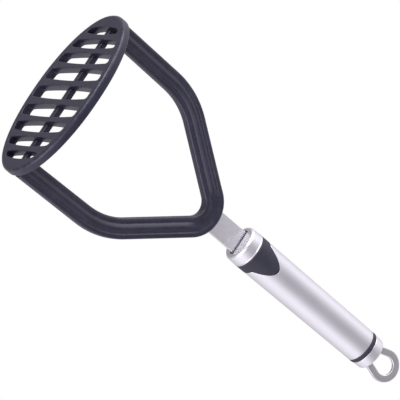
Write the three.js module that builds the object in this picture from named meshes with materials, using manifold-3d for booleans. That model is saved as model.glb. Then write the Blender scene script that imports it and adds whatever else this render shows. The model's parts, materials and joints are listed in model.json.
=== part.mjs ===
// A potato masher: an oval slotted nylon plate, a nylon frame, a flat steel shank and a tubular steel
// handle with a hanging loop. Millimetres, +Z up. The masher stands on its mashing face, which lies in
// Z = 0, with the origin in the middle of that face. The long axis of the plate is X, and the frame,
// shank and loop lie in the XZ plane.

import * as THREE from 'three';
import * as BufferGeometryUtils from 'three/addons/utils/BufferGeometryUtils.js';
import Module from 'manifold-3d';

const wasm = await Module();
wasm.setup();

// ---- driving dimensions -------------------------------------------------------------------------

const GAP = 0.3; // clearance between pieces that touch on the real masher
const CUT = 1; // how far a cutting body runs past the surface it cuts

const PLATE_LENGTH = 112;
const PLATE_WIDTH = 75.6;
const PLATE_THICKNESS = 5.7;
const PLATE_EXPONENT = 2.1; // 2 is a true ellipse, more is squarer
const PLATE_EDGE = 1; // rounding of the outer edge
const PLATE_POINTS = 72;

const SLOT_CENTRES = [0, 12.9, 24.4, 34.9, 44.4]; // the last four repeat at -X
const SLOT_WIDTHS = [9.6, 9, 7.9, 6.8, 5.7];
const SLOT_BOW = 1.2; // how much each long edge draws in towards its ends
const SLOT_RIM = 4.6; // plate left outside the slot ends
const SLOT_CORNER = 2; // radius of the four corners of a slot
const SLOT_STEPS = 7; // points along half of a long edge
const CORNER_SEGMENTS = 24; // for a full turn
const MITER_LIMIT = 2; // how far a sharp corner may run out when an outline shrinks
const RIB_WIDTH = 4.4;
const RIB_BOTTOM_Z = 3; // the back rib leaves the slots free below this
const RIB_TOP_Z = 6.7; // between the arms the rib stands above the bars
const RIB_LENGTH = 98;
const RIB_RAISED_LENGTH = 84;

const ARM_WIDTH = 12.8;
const ARM_THICKNESS = 7.8;
const ARM_BEAD = 0.7; // height of the rounded bead over the flanges beside it
const ARM_CHAMFER = 0.7; // at the outer edge of a flange
const ARM_FLANGE = 2.9; // from the outer edge to the foot of the bead
const FOOT_X = 49.4; // centre line of an arm where it meets the plate
const BEND_X = 47.7;
const BEND_Z = 68.6;
const BEND_RADIUS = 46;
const APEX_RADIUS = 14.5;
const APEX_LINE_Z = 131.3; // where the two centre lines would cross
const ARM_STEPS = 64;
const PEG = { width: 5, thickness: 4.6, depth: 3.6, overlap: 2 }; // the overlap is inside the arm

const SHANK_WIDTH = 14.7;
const SHANK_THICKNESS = 1.8;
const SHANK_FOOT_Z = 117.5;
const SHANK_TOP_Z = 200;
const SHANK_CORNER = 2;
const STUD = { x: 4, z: 121.5, radius: 1.3 };

const FERRULE_FACE_Z = 147.7;
const FERRULE_FACE_RADIUS = 10.4;
const FERRULE_LENGTH = 8.2;
const FERRULE_WALL = 0.9;
const FERRULE_SHOULDER = 3; // length over which the front rounds into the side
const SEAL_WALL = 0.7;
const SEAL_LENGTH = 1.6;

const GRIP_Z = FERRULE_FACE_Z + FERRULE_LENGTH;
const BAND_LENGTH = 6.6;
const TONGUE_LENGTH = 12;
const TONGUE_HALF_ANGLE = THREE.MathUtils.degToRad(58);
const TONGUE_TURN = 9; // degrees from -Y towards +X, and the same on the back
const TONGUE_POINTS = 16;

const HANDLE_RADIUS = 11.6; // at the ferrule
const HANDLE_REAR_RADIUS = 10.8;
const HANDLE_WALL = 0.7;
const HANDLE_END_Z = 252;
const ROUND = 48; // segments round the handle

const CORE_END_Z = 206;
const PIN_RADIUS = 2;
const PIN_LENGTH = 18;
const TANG_PINS_Z = [176, 192];

const PLUG_START_Z = 236;
const PLUG_LEAD = 0.8; // chamfer that lets the plug into the tube
const SPIGOT_RADIUS = 8.8;
const RING_LENGTH = 2.7;
const CAP_LENGTH = 7.1;
const CAP_WALL = 1;
const CAP_EDGE = 1.4;
const CAP_STEP = 0.3; // the cap is a little slimmer than the ring, and tapers by as much again

const LOOP_WIDTH = 4.4;
const LOOP_THICKNESS = 2;
const LOOP_LEG_X = 5.5;
const LOOP_FOOT_Z = 240;
const LOOP_BEND_Z = 264;
const LOOP_RADIUS = 7.9;
const LOOP_CENTRE_Z = 273;
const LOOP_STEPS = 56;
const LOOP_PIN = { radius: 1.1, length: 15, z: 245 };

// ---- materials ----------------------------------------------------------------------------------

const nylon = { color: 0x3d3b45, roughness: 0.55, metalness: 0 };
const softGrip = { color: 0x302f37, roughness: 0.75, metalness: 0 };
const satinSteel = { color: 0xc9c7d0, roughness: 0.3, metalness: 1 };
const stampedSteel = { color: 0x9a98a0, roughness: 0.45, metalness: 1 };
const innerNylon = { color: 0x55555a, roughness: 0.6, metalness: 0 };

// ---- helpers ------------------------------------------------------------------------------------

/** Turns a closed three.js geometry into a manifold-3d solid. */
function solid(geometry) {
  const bare = geometry.clone();
  bare.deleteAttribute('normal');
  bare.deleteAttribute('uv');
  const merged = BufferGeometryUtils.mergeVertices(bare, 1e-4);
  const vertProperties = new Float32Array(merged.attributes.position.array);
  const triVerts = new Uint32Array(merged.index.array);
  return new wasm.Manifold(new wasm.Mesh({ numProp: 3, vertProperties, triVerts }));
}

/** Turns a manifold-3d solid back into a three.js geometry. */
function geometryOf(manifold) {
  const mesh = manifold.getMesh();
  const geometry = new THREE.BufferGeometry();
  geometry.setAttribute('position', new THREE.BufferAttribute(new Float32Array(mesh.vertProperties), 3));
  geometry.setIndex(new THREE.BufferAttribute(new Uint32Array(mesh.triVerts), 1));
  geometry.computeVertexNormals();
  return geometry;
}

function named(name, geometry, look) {
  const mesh = new THREE.Mesh(geometry, new THREE.MeshStandardMaterial(look));
  mesh.name = name;
  return mesh;
}

/** A box given by its size and its centre. */
function block(sizeX, sizeY, sizeZ, x, y, z) {
  return new THREE.BoxGeometry(sizeX, sizeY, sizeZ).translate(x, y, z);
}

/** A solid of revolution about Z. The profile is a list of [radius, z]. */
function turned(profile, segments = ROUND) {
  const points = profile.map(([radius, z]) => new THREE.Vector2(radius, z));
  return new THREE.LatheGeometry(points, segments).rotateX(Math.PI / 2);
}

/** A round bar along Y, centred on the XZ plane. */
function crossBar(radius, length, x, z) {
  return new THREE.CylinderGeometry(radius, radius, length, 20).translate(x, 0, z);
}

/** An outline in X and Z, drawn as a Shape, given a thickness along Y and centred on the XZ plane. */
function slab(shape, thickness) {
  const options = { depth: thickness, bevelEnabled: false, curveSegments: 10 };
  return new THREE.ExtrudeGeometry(shape, options).rotateX(Math.PI / 2).translate(0, thickness / 2, 0);
}

/** A section swept along a path. The section's first axis lies along Y, its second across the path. */
function swept(section, path, steps) {
  return new THREE.ExtrudeGeometry(section, { steps, extrudePath: path, bevelEnabled: false });
}

/** A sheet with rounded corners, in the XZ plane and centred on X = 0. */
function roundedStrip(width, fromZ, toZ, corner) {
  const half = width / 2;
  const shape = new THREE.Shape();
  shape.moveTo(-half + corner, fromZ);
  shape.lineTo(half - corner, fromZ);
  shape.absarc(half - corner, fromZ + corner, corner, -Math.PI / 2, 0, false);
  shape.absarc(half - corner, toZ - corner, corner, 0, Math.PI / 2, false);
  shape.absarc(-half + corner, toZ - corner, corner, Math.PI / 2, Math.PI, false);
  shape.absarc(-half + corner, fromZ + corner, corner, Math.PI, Math.PI * 1.5, false);
  return shape;
}

/** Outer radius of the handle at height z: it tapers evenly from the ferrule to the rear ring. */
function handleRadius(z) {
  const share = (z - GRIP_Z) / (HANDLE_END_Z - GRIP_Z);
  return THREE.MathUtils.lerp(HANDLE_RADIUS, HANDLE_REAR_RADIUS, share);
}

// ---- mashing plate ------------------------------------------------------------------------------

/** Half the width of an oval with the plate's roundness, at distance x from its middle. */
function ovalHalfWidth(x, halfLength, halfWidth) {
  const share = Math.min(1, Math.abs(x) / halfLength);
  return halfWidth * (1 - share ** PLATE_EXPONENT) ** (1 / PLATE_EXPONENT);
}

function plateOutline(inset) {
  const halfLength = PLATE_LENGTH / 2 - inset;
  const halfWidth = PLATE_WIDTH / 2 - inset;
  const points = [];
  for (let i = 0; i < PLATE_POINTS; i += 1) {
    const angle = (i / PLATE_POINTS) * 2 * Math.PI;
    const x = Math.sign(Math.cos(angle)) * Math.abs(Math.cos(angle)) ** (2 / PLATE_EXPONENT) * halfLength;
    const y = Math.sign(Math.sin(angle)) * Math.abs(Math.sin(angle)) ** (2 / PLATE_EXPONENT) * halfWidth;
    points.push(new THREE.Vector2(x, y));
  }
  return new THREE.Shape(points);
}

/** A slot across the plate: both long edges bow outwards, and its ends follow the oval rim. */
function slotOutline(centre, width) {
  const halfLength = PLATE_LENGTH / 2 - SLOT_RIM;
  const halfWidth = PLATE_WIDTH / 2 - SLOT_RIM;
  const points = [];
  const corners = [[1, 1], [-1, -1]];
  for (const [side, from] of corners) {
    for (let i = -SLOT_STEPS; i <= SLOT_STEPS; i += 1) {
      const share = (from * i) / SLOT_STEPS;
      const x = centre + side * (width / 2 - SLOT_BOW * share ** 2);
      const reach = ovalHalfWidth(x, halfLength, halfWidth);
      points.push([x, share * reach]);
    }
  }
  return points;
}

/** A body that cuts one slot. Shrinking and growing its outline by the same radius rounds the corners. */
function slotCutter(centre, width) {
  const sharp = new wasm.CrossSection([slotOutline(centre, width)]);
  const shrunk = sharp.offset(-SLOT_CORNER, 'Miter', MITER_LIMIT);
  const rounded = shrunk.offset(SLOT_CORNER, 'Round', MITER_LIMIT, CORNER_SEGMENTS);
  return rounded.extrude(PLATE_THICKNESS + 2 * CUT).translate(0, 0, -CUT);
}

function platePocket(side) {
  const width = PEG.width + 2 * GAP;
  const thickness = PEG.thickness + 2 * GAP;
  const depth = PEG.depth + GAP;
  return block(width, thickness, depth + CUT, side * FOOT_X, 0, PLATE_THICKNESS - depth + (depth + CUT) / 2);
}

function mashingPlate() {
  const straight = PLATE_THICKNESS - 2 * PLATE_EDGE;
  const options = {
    depth: straight,
    bevelThickness: PLATE_EDGE,
    bevelSize: PLATE_EDGE,
    bevelSegments: 2,
    steps: 1,
  };
  const oval = new THREE.ExtrudeGeometry(plateOutline(PLATE_EDGE), options);
  let plate = solid(oval.translate(0, 0, PLATE_EDGE));
  SLOT_CENTRES.forEach((centre, index) => {
    const sides = centre === 0 ? [0] : [-1, 1];
    for (const side of sides) {
      plate = plate.subtract(slotCutter(side * centre, SLOT_WIDTHS[index]));
    }
  });
  const ribs = [[RIB_LENGTH, PLATE_THICKNESS], [RIB_RAISED_LENGTH, RIB_TOP_Z]];
  for (const [length, top] of ribs) {
    const rib = block(length, RIB_WIDTH, top - RIB_BOTTOM_Z, 0, 0, (top + RIB_BOTTOM_Z) / 2);
    plate = plate.add(solid(rib));
  }
  for (const side of [-1, 1]) {
    plate = plate.subtract(solid(platePocket(side)));
  }
  return geometryOf(plate);
}

// ---- frame --------------------------------------------------------------------------------------

/** Section of an arm: two rounded flanges with a raised bead between them, the same on both faces. */
function armSection() {
  const flange = ARM_THICKNESS / 2 - ARM_BEAD;
  const half = ARM_WIDTH / 2;
  const face = [
    [half, flange - 2 * ARM_CHAMFER],
    [half - ARM_CHAMFER, flange - ARM_CHAMFER / 2],
    [half - 2 * ARM_CHAMFER, flange],
    [half - ARM_FLANGE, flange],
    [half - ARM_FLANGE - ARM_BEAD, flange + ARM_BEAD],
  ];
  const quarter = face.map(([across, out]) => new THREE.Vector2(out, across));
  const mirrored = quarter.map((p) => new THREE.Vector2(p.x, -p.y)).reverse();
  const front = [...quarter, ...mirrored];
  const back = front.map((p) => new THREE.Vector2(-p.x, p.y)).reverse();
  return new THREE.Shape([...front, ...back]);
}

/** Adds a straight run and a rounded corner to a path in the XZ plane; returns where the corner ends. */
function addCorner(path, start, corner, next, radius) {
  const into = corner.clone().sub(start).normalize();
  const away = next.clone().sub(corner).normalize();
  const turn = into.angleTo(away);
  const tangent = radius * Math.tan(turn / 2);
  const from = corner.clone().addScaledVector(into, -tangent);
  const to = corner.clone().addScaledVector(away, tangent);
  const inward = away.clone().sub(into).normalize();
  const centre = corner.clone().addScaledVector(inward, radius / Math.cos(turn / 2));
  path.add(new THREE.LineCurve3(start, from));
  path.add(new ArcInPlane(centre, from, turn, into));
  return to;
}

/** An arc that starts at a point with a given direction and turns about a centre by an angle. */
class ArcInPlane extends THREE.Curve {
  constructor(centre, from, angle, direction) {
    super();
    this.centre = centre;
    this.spoke = from.clone().sub(centre);
    this.along = direction.clone().multiplyScalar(this.spoke.length());
    this.angle = angle;
  }

  getPoint(t, target = new THREE.Vector3()) {
    const turned = t * this.angle;
    target.copy(this.centre);
    target.addScaledVector(this.spoke, Math.cos(turned));
    return target.addScaledVector(this.along, Math.sin(turned));
  }
}

/** Centre line of the frame, from one foot over the apex to the other. */
function framePath() {
  const corners = [
    new THREE.Vector3(-FOOT_X, 0, PLATE_THICKNESS + GAP),
    new THREE.Vector3(-BEND_X, 0, BEND_Z),
    new THREE.Vector3(0, 0, APEX_LINE_Z),
    new THREE.Vector3(BEND_X, 0, BEND_Z),
    new THREE.Vector3(FOOT_X, 0, PLATE_THICKNESS + GAP),
  ];
  const radii = [0, BEND_RADIUS, APEX_RADIUS, BEND_RADIUS, 0];
  const path = new THREE.CurvePath();
  let start = corners[0];
  for (let i = 1; i < corners.length - 1; i += 1) {
    start = addCorner(path, start, corners[i], corners[i + 1], radii[i]);
  }
  path.add(new THREE.LineCurve3(start, corners[corners.length - 1]));
  return path;
}

function frame() {
  let body = solid(swept(armSection(), framePath(), ARM_STEPS));
  for (const side of [-1, 1]) {
    const height = PEG.depth + GAP + PEG.overlap;
    const bottom = PLATE_THICKNESS - PEG.depth;
    const peg = block(PEG.width, PEG.thickness, height, side * FOOT_X, 0, bottom + height / 2);
    body = body.add(solid(peg));
  }
  const pocketStrip = roundedStrip(SHANK_WIDTH + 2 * GAP, SHANK_FOOT_Z - GAP, FERRULE_FACE_Z, SHANK_CORNER);
  body = body.subtract(solid(slab(pocketStrip, SHANK_THICKNESS + 2 * GAP)));
  for (const side of [-1, 1]) {
    body = body.add(solid(crossBar(STUD.radius, ARM_THICKNESS / 2, side * STUD.x, STUD.z)));
  }
  const trim = block(PLATE_LENGTH, ARM_THICKNESS * 2, CUT, 0, 0, 0);
  body = body.subtract(solid(trim));
  return geometryOf(body);
}

// ---- shank and ferrule --------------------------------------------------------------------------

function shank() {
  const outline = roundedStrip(SHANK_WIDTH, SHANK_FOOT_Z, SHANK_TOP_Z, SHANK_CORNER);
  let strip = solid(slab(outline, SHANK_THICKNESS));
  for (const side of [-1, 1]) {
    strip = strip.subtract(solid(crossBar(STUD.radius + GAP, ARM_THICKNESS, side * STUD.x, STUD.z)));
  }
  for (const z of TANG_PINS_Z) {
    strip = strip.subtract(solid(crossBar(PIN_RADIUS + GAP, PIN_LENGTH, 0, z)));
  }
  return geometryOf(strip);
}

/** A slot for the shank, wider than it by a margin all round. */
function shankSlot(margin, fromZ, toZ) {
  return block(SHANK_WIDTH + 2 * margin, SHANK_THICKNESS + 2 * margin, toZ - fromZ, 0, 0, (fromZ + toZ) / 2);
}

function ferrule() {
  const face = FERRULE_FACE_Z;
  const rear = face + FERRULE_LENGTH;
  const inside = HANDLE_RADIUS - FERRULE_WALL;
  const shoulder = HANDLE_RADIUS - FERRULE_FACE_RADIUS;
  const profile = [
    [0, face],
    [FERRULE_FACE_RADIUS, face],
    [HANDLE_RADIUS - 0.4 * shoulder, face + 0.15 * FERRULE_SHOULDER],
    [HANDLE_RADIUS - 0.1 * shoulder, face + 0.5 * FERRULE_SHOULDER],
    [HANDLE_RADIUS, face + FERRULE_SHOULDER],
    [HANDLE_RADIUS, rear - GAP],
    [HANDLE_RADIUS - GAP, rear],
    [inside, rear],
    [inside, face + FERRULE_SHOULDER],
    [inside - SEAL_LENGTH, face + SEAL_LENGTH],
    [0, face + SEAL_LENGTH],
  ];
  const slot = shankSlot(SEAL_WALL + 2 * GAP, face - CUT, face + SEAL_LENGTH + CUT);
  return geometryOf(solid(turned(profile)).subtract(solid(slot)));
}

function shankSeal() {
  const from = FERRULE_FACE_Z - GAP;
  const to = FERRULE_FACE_Z + SEAL_LENGTH - GAP;
  const outside = solid(shankSlot(SEAL_WALL + GAP, from, to));
  return geometryOf(outside.subtract(solid(shankSlot(GAP, from - CUT, to + CUT))));
}

// ---- handle -------------------------------------------------------------------------------------

/** Height where the soft grip ends, at an angle round the handle measured from the middle of a tongue. */
function gripTop(angle) {
  const share = Math.min(1, Math.abs(angle) / TONGUE_HALF_ANGLE);
  return GRIP_Z + BAND_LENGTH + TONGUE_LENGTH * (1 - share ** 2) ** 1.5;
}

/** Outline of the soft grip, grown by a margin, as a body that runs right through the handle. */
function gripSilhouette(margin) {
  const points = [];
  for (let i = -TONGUE_POINTS; i <= TONGUE_POINTS; i += 1) {
    const angle = (i / TONGUE_POINTS) * (Math.PI / 2);
    const x = (HANDLE_RADIUS + margin) * Math.sin(angle);
    points.push(new THREE.Vector2(x, gripTop(angle) + margin));
  }
  const edge = HANDLE_RADIUS + CUT;
  const bandTop = GRIP_Z + BAND_LENGTH + margin;
  points.unshift(new THREE.Vector2(-edge, GRIP_Z - CUT - margin), new THREE.Vector2(-edge, bandTop));
  points.push(new THREE.Vector2(edge, bandTop), new THREE.Vector2(edge, GRIP_Z - CUT - margin));
  return solid(slab(new THREE.Shape(points), 4 * HANDLE_RADIUS)).rotate([0, 0, TONGUE_TURN]);
}

/** The tapered sleeve that both the tube and the soft grip are cut from. */
function sleeve(fromZ, toZ, wall) {
  return solid(turned([
    [handleRadius(fromZ) - wall, fromZ],
    [handleRadius(fromZ), fromZ],
    [handleRadius(toZ), toZ],
    [handleRadius(toZ) - wall, toZ],
    [handleRadius(fromZ) - wall, fromZ],
  ]));
}

function softGripSleeve() {
  const whole = sleeve(GRIP_Z + GAP, GRIP_Z + BAND_LENGTH + TONGUE_LENGTH + CUT, HANDLE_WALL);
  return geometryOf(whole.intersect(gripSilhouette(0)));
}

function handleTube() {
  const whole = sleeve(GRIP_Z + GAP, HANDLE_END_Z, HANDLE_WALL);
  return geometryOf(whole.subtract(gripSilhouette(GAP)));
}

/** One of the two nylon halves that clamp the tang inside the ferrule, the soft grip and the tube. */
function coreHalf(side) {
  const front = FERRULE_FACE_Z + FERRULE_SHOULDER + GAP;
  const step = GRIP_Z + GAP;
  const nose = HANDLE_RADIUS - FERRULE_WALL - GAP;
  const body = handleRadius(CORE_END_Z) - HANDLE_WALL - GAP;
  const profile = [
    [0, front],
    [nose, front],
    [nose, step],
    [body, step],
    [body, CORE_END_Z],
    [0, CORE_END_Z],
  ];
  let core = solid(turned(profile));
  const reach = 2 * HANDLE_RADIUS;
  const length = CORE_END_Z - front + 2 * CUT;
  const other = block(reach * 2, reach, length, 0, side * (GAP / 2 - reach / 2), (front + CORE_END_Z) / 2);
  core = core.subtract(solid(other));
  core = core.subtract(solid(shankSlot(GAP, front - CUT, SHANK_TOP_Z + GAP)));
  for (const z of TANG_PINS_Z) {
    core = core.subtract(solid(crossBar(PIN_RADIUS + GAP, 2 * reach, 0, z)));
  }
  return geometryOf(core);
}

function rearPlug() {
  const body = handleRadius(HANDLE_END_Z) - HANDLE_WALL - GAP;
  const shoulder = HANDLE_END_Z - GAP;
  const end = HANDLE_END_Z + RING_LENGTH + CAP_LENGTH - CAP_WALL - 2 * GAP;
  const profile = [
    [0, PLUG_START_Z],
    [body - PLUG_LEAD, PLUG_START_Z],
    [body, PLUG_START_Z + PLUG_LEAD],
    [body, shoulder],
    [SPIGOT_RADIUS, shoulder],
    [SPIGOT_RADIUS, end],
    [0, end],
  ];
  let plug = solid(turned(profile));
  const width = LOOP_WIDTH + 2 * GAP;
  const foot = LOOP_FOOT_Z - GAP;
  for (const side of [-1, 1]) {
    const height = end - foot + CUT;
    const slot = block(width, LOOP_THICKNESS + 2 * GAP, height, side * LOOP_LEG_X, 0, foot + height / 2);
    plug = plug.subtract(solid(slot));
    const bore = crossBar(LOOP_PIN.radius + GAP, 3 * HANDLE_RADIUS, side * LOOP_LEG_X, LOOP_PIN.z);
    plug = plug.subtract(solid(bore));
  }
  return geometryOf(plug);
}

function rearRing() {
  const from = HANDLE_END_Z + GAP;
  const to = HANDLE_END_Z + RING_LENGTH;
  const inside = SPIGOT_RADIUS + GAP;
  return turned([
    [inside, from],
    [HANDLE_REAR_RADIUS, from],
    [HANDLE_REAR_RADIUS, to],
    [inside, to],
    [inside, from],
  ]);
}

function endCap() {
  const from = HANDLE_END_Z + RING_LENGTH + GAP;
  const end = HANDLE_END_Z + RING_LENGTH + CAP_LENGTH;
  const inside = SPIGOT_RADIUS + GAP;
  const rim = HANDLE_REAR_RADIUS - CAP_STEP;
  const edge = rim - CAP_STEP;
  const profile = [
    [inside, from],
    [rim, from],
    [edge, end - CAP_EDGE],
    [edge - CAP_EDGE * 0.3, end - CAP_EDGE * 0.3],
    [edge - CAP_EDGE, end],
    [0, end],
    [0, end - CAP_WALL],
    [inside, end - CAP_WALL],
    [inside, from],
  ];
  let cap = solid(turned(profile));
  for (const side of [-1, 1]) {
    const thickness = LOOP_THICKNESS + 2 * GAP;
    const slot = block(LOOP_WIDTH + 2 * GAP, thickness, 3 * CAP_WALL, side * LOOP_LEG_X, 0, end);
    cap = cap.subtract(solid(slot));
  }
  return geometryOf(cap);
}

/** Centre line of the hanging loop: up one leg, round the ring and down the other leg. */
function loopPath() {
  const centre = new THREE.Vector3(0, 0, LOOP_CENTRE_Z);
  const bend = new THREE.Vector3(-LOOP_LEG_X, 0, LOOP_BEND_Z);
  const toBend = bend.clone().sub(centre);
  const distance = toBend.length();
  const start = Math.atan2(toBend.z, toBend.x) - Math.acos(LOOP_RADIUS / distance);
  const onRing = new THREE.Vector3(Math.cos(start), 0, Math.sin(start));
  const from = onRing.multiplyScalar(LOOP_RADIUS).add(centre);
  const to = from.clone().setX(-from.x);
  const direction = from.clone().sub(bend).normalize();
  const sweep = 2 * Math.atan2(-from.x, -(from.z - LOOP_CENTRE_Z));
  const path = new THREE.CurvePath();
  path.add(new THREE.LineCurve3(new THREE.Vector3(-LOOP_LEG_X, 0, LOOP_FOOT_Z), bend));
  path.add(new THREE.LineCurve3(bend, from));
  path.add(new ArcInPlane(centre, from, 2 * Math.PI - sweep, direction));
  path.add(new THREE.LineCurve3(to, new THREE.Vector3(LOOP_LEG_X, 0, LOOP_BEND_Z)));
  path.add(new THREE.LineCurve3(
    new THREE.Vector3(LOOP_LEG_X, 0, LOOP_BEND_Z),
    new THREE.Vector3(LOOP_LEG_X, 0, LOOP_FOOT_Z),
  ));
  return path;
}

function hangingLoop() {
  const halfThickness = LOOP_THICKNESS / 2;
  const halfWidth = LOOP_WIDTH / 2;
  const section = new THREE.Shape([
    new THREE.Vector2(-halfThickness, -halfWidth),
    new THREE.Vector2(halfThickness, -halfWidth),
    new THREE.Vector2(halfThickness, halfWidth),
    new THREE.Vector2(-halfThickness, halfWidth),
  ]);
  let loop = solid(swept(section, loopPath(), LOOP_STEPS));
  for (const side of [-1, 1]) {
    const hole = crossBar(LOOP_PIN.radius + GAP, LOOP_PIN.length, side * LOOP_LEG_X, LOOP_PIN.z);
    loop = loop.subtract(solid(hole));
  }
  return geometryOf(loop);
}

// ---- assembly -----------------------------------------------------------------------------------

const head = new THREE.Group();
head.add(named('mashing_plate', mashingPlate(), nylon));
head.add(named('frame', frame(), nylon));
head.add(named('shank', shank(), satinSteel));

const handle = new THREE.Group();
handle.add(named('ferrule', ferrule(), satinSteel));
handle.add(named('shank_seal', shankSeal(), softGrip));
handle.add(named('soft_grip', softGripSleeve(), softGrip));
handle.add(named('handle_tube', handleTube(), satinSteel));
handle.add(named('core_half_front', coreHalf(-1), innerNylon));
handle.add(named('core_half_back', coreHalf(1), innerNylon));
TANG_PINS_Z.forEach((z, index) => {
  handle.add(named(`tang_pin_${index + 1}`, crossBar(PIN_RADIUS, PIN_LENGTH, 0, z), stampedSteel));
});
handle.add(named('rear_plug', rearPlug(), innerNylon));
handle.add(named('rear_ring', rearRing(), softGrip));
handle.add(named('end_cap', endCap(), satinSteel));
handle.add(named('hanging_loop', hangingLoop(), stampedSteel));
for (const [side, place] of [[-1, 'left'], [1, 'right']]) {
  const pin = crossBar(LOOP_PIN.radius, LOOP_PIN.length, side * LOOP_LEG_X, LOOP_PIN.z);
  handle.add(named(`loop_pin_${place}`, pin, stampedSteel));
}

const masher = new THREE.Group();
masher.add(head, handle);

export default masher;
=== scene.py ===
# %% [markdown]
# # A potato masher, piece by piece
# This lesson dresses a hand masher: an oval plate with slots, a moulded frame with two arms, a flat
# steel shank, and a round steel handle with a soft grip and a hanging loop. The engineering model is
# loaded first and is never changed. It says where everything is, in metres, with Z up the handle, X
# along the plate and Y through the frame. Each visible piece is then made again as a finer surface
# with rounded edges, and gets a finish built from nodes.

# %% Load the masher
import json

import bmesh
import bpy
import numpy as np
from mathutils import Matrix, Vector
from mathutils.geometry import delaunay_2d_cdt

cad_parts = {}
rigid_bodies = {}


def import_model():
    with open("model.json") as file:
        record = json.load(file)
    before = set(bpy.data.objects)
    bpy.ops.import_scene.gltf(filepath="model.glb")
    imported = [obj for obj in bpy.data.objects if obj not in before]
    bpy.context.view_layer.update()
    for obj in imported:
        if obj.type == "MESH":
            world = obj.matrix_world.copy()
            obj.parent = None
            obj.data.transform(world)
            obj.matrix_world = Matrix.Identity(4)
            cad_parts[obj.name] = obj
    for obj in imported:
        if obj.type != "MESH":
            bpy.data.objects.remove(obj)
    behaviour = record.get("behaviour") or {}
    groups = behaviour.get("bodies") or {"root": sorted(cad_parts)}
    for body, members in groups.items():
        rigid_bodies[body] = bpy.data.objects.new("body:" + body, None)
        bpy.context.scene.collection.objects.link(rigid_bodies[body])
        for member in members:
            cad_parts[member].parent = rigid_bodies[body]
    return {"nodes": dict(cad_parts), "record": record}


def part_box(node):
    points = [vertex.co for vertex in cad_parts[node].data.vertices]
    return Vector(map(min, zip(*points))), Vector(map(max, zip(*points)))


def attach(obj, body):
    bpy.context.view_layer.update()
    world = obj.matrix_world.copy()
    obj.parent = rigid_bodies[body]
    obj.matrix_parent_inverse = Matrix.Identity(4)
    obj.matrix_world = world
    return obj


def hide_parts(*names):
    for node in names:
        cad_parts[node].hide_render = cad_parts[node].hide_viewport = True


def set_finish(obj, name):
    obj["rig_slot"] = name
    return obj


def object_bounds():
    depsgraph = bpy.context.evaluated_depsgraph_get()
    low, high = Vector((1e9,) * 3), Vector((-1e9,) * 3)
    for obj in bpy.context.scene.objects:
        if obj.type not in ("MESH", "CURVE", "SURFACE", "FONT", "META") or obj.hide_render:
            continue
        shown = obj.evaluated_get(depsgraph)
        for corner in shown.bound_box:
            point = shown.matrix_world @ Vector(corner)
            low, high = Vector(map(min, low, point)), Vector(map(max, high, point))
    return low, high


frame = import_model()
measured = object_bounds()
MM = 0.001
print(len(frame["nodes"]), "parts, from", tuple(measured[0]), "to", tuple(measured[1]))

# %% [markdown]
# ## Two tools for outlines
# Nothing that comes out of a mould or a press has a perfectly sharp corner: a small radius catches the
# light and makes an edge readable. So most outlines here start as a few corners, and `rounded` swaps
# each corner for an arc. It could be done with a Bevel modifier, but an arc in the outline keeps the
# radius exact and the mesh even. `spaced` puts points at even steps along a line.


# %% Rounded corners and even steps
def unit(arrows):
    """Each arrow divided by its own length."""
    return arrows / np.linalg.norm(arrows, axis=-1, keepdims=True)


def rounded(corners, radii, steps=6, closed=True):
    """Corners become arcs. An arc's centre lies on the corner's bisector, radius / sin(half angle)
    away, and the arc turns from one tangent point to the other about that centre."""
    corners = np.asarray(corners, float)
    radii = np.broadcast_to(np.asarray(radii, float), len(corners))[:, None]
    back = unit(np.roll(corners, 1, 0) - corners)
    ahead = unit(np.roll(corners, -1, 0) - corners)
    half = np.arccos(np.clip((back * ahead).sum(1, keepdims=True), -1, 1)) / 2
    centre = corners + unit(back + ahead) * radii / np.sin(half)
    spoke_in = corners + back * radii / np.tan(half) - centre
    spoke_out = corners + ahead * radii / np.tan(half) - centre
    turn = (np.pi - 2 * half)[:, :, None]
    share = np.linspace(0, 1, steps + 1)[None, :, None]
    arcs = np.sin((1 - share) * turn) * spoke_in[:, None] + np.sin(share * turn) * spoke_out[:, None]
    arcs = centre[:, None] + arcs / np.sin(turn)
    if closed:
        return arcs.reshape(-1, corners.shape[1])
    return np.vstack([corners[:1], arcs[1:-1].reshape(-1, corners.shape[1]), corners[-1:]])


def spaced(line, count, closed=False):
    """Points at even steps along a line: each coordinate is looked up at even shares of the length."""
    line = np.vstack([line, line[:1]]) if closed else np.asarray(line)
    run = np.concatenate([[0], np.cumsum(np.linalg.norm(np.diff(line, axis=0), axis=1))])
    at = np.linspace(0, run[-1], count, endpoint=not closed)
    return np.stack([np.interp(at, run, column) for column in line.T], 1)


print("a rounded square has", len(rounded([[0, 0], [1, 0], [1, 1], [0, 1]], 0.1)), "points")

# %% [markdown]
# ## From numbers to meshes
# Every surface below is a grid of points: one direction runs round a section, the other along a path
# or round an axis. `squares` numbers the four corners of each cell, and `make` puts points and faces
# into a mesh, merges seams and poles, turns all faces outwards and stores how sharp the surface is at
# each point. The finishes read that number to paint edges lighter: partly wear, where bare metal and
# polished plastic show, and partly a painted highlight.


# %% Grids, meshes and sharpness
MERGE_DISTANCE = 1e-7


def squares(rows, columns, round_rows=False):
    """The corner numbers of each cell of a grid. The last column is joined to the first, and the last
    row too if asked."""
    row = np.arange(rows if round_rows else rows - 1)[:, None]
    column = np.arange(columns)[None, :]
    below, beside = (row + 1) % rows, (column + 1) % columns
    corners = [row * columns + column, row * columns + beside]
    corners += [below * columns + beside, below * columns + column]
    return np.stack(np.broadcast_arrays(*corners), -1).reshape(-1, 4)


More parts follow.
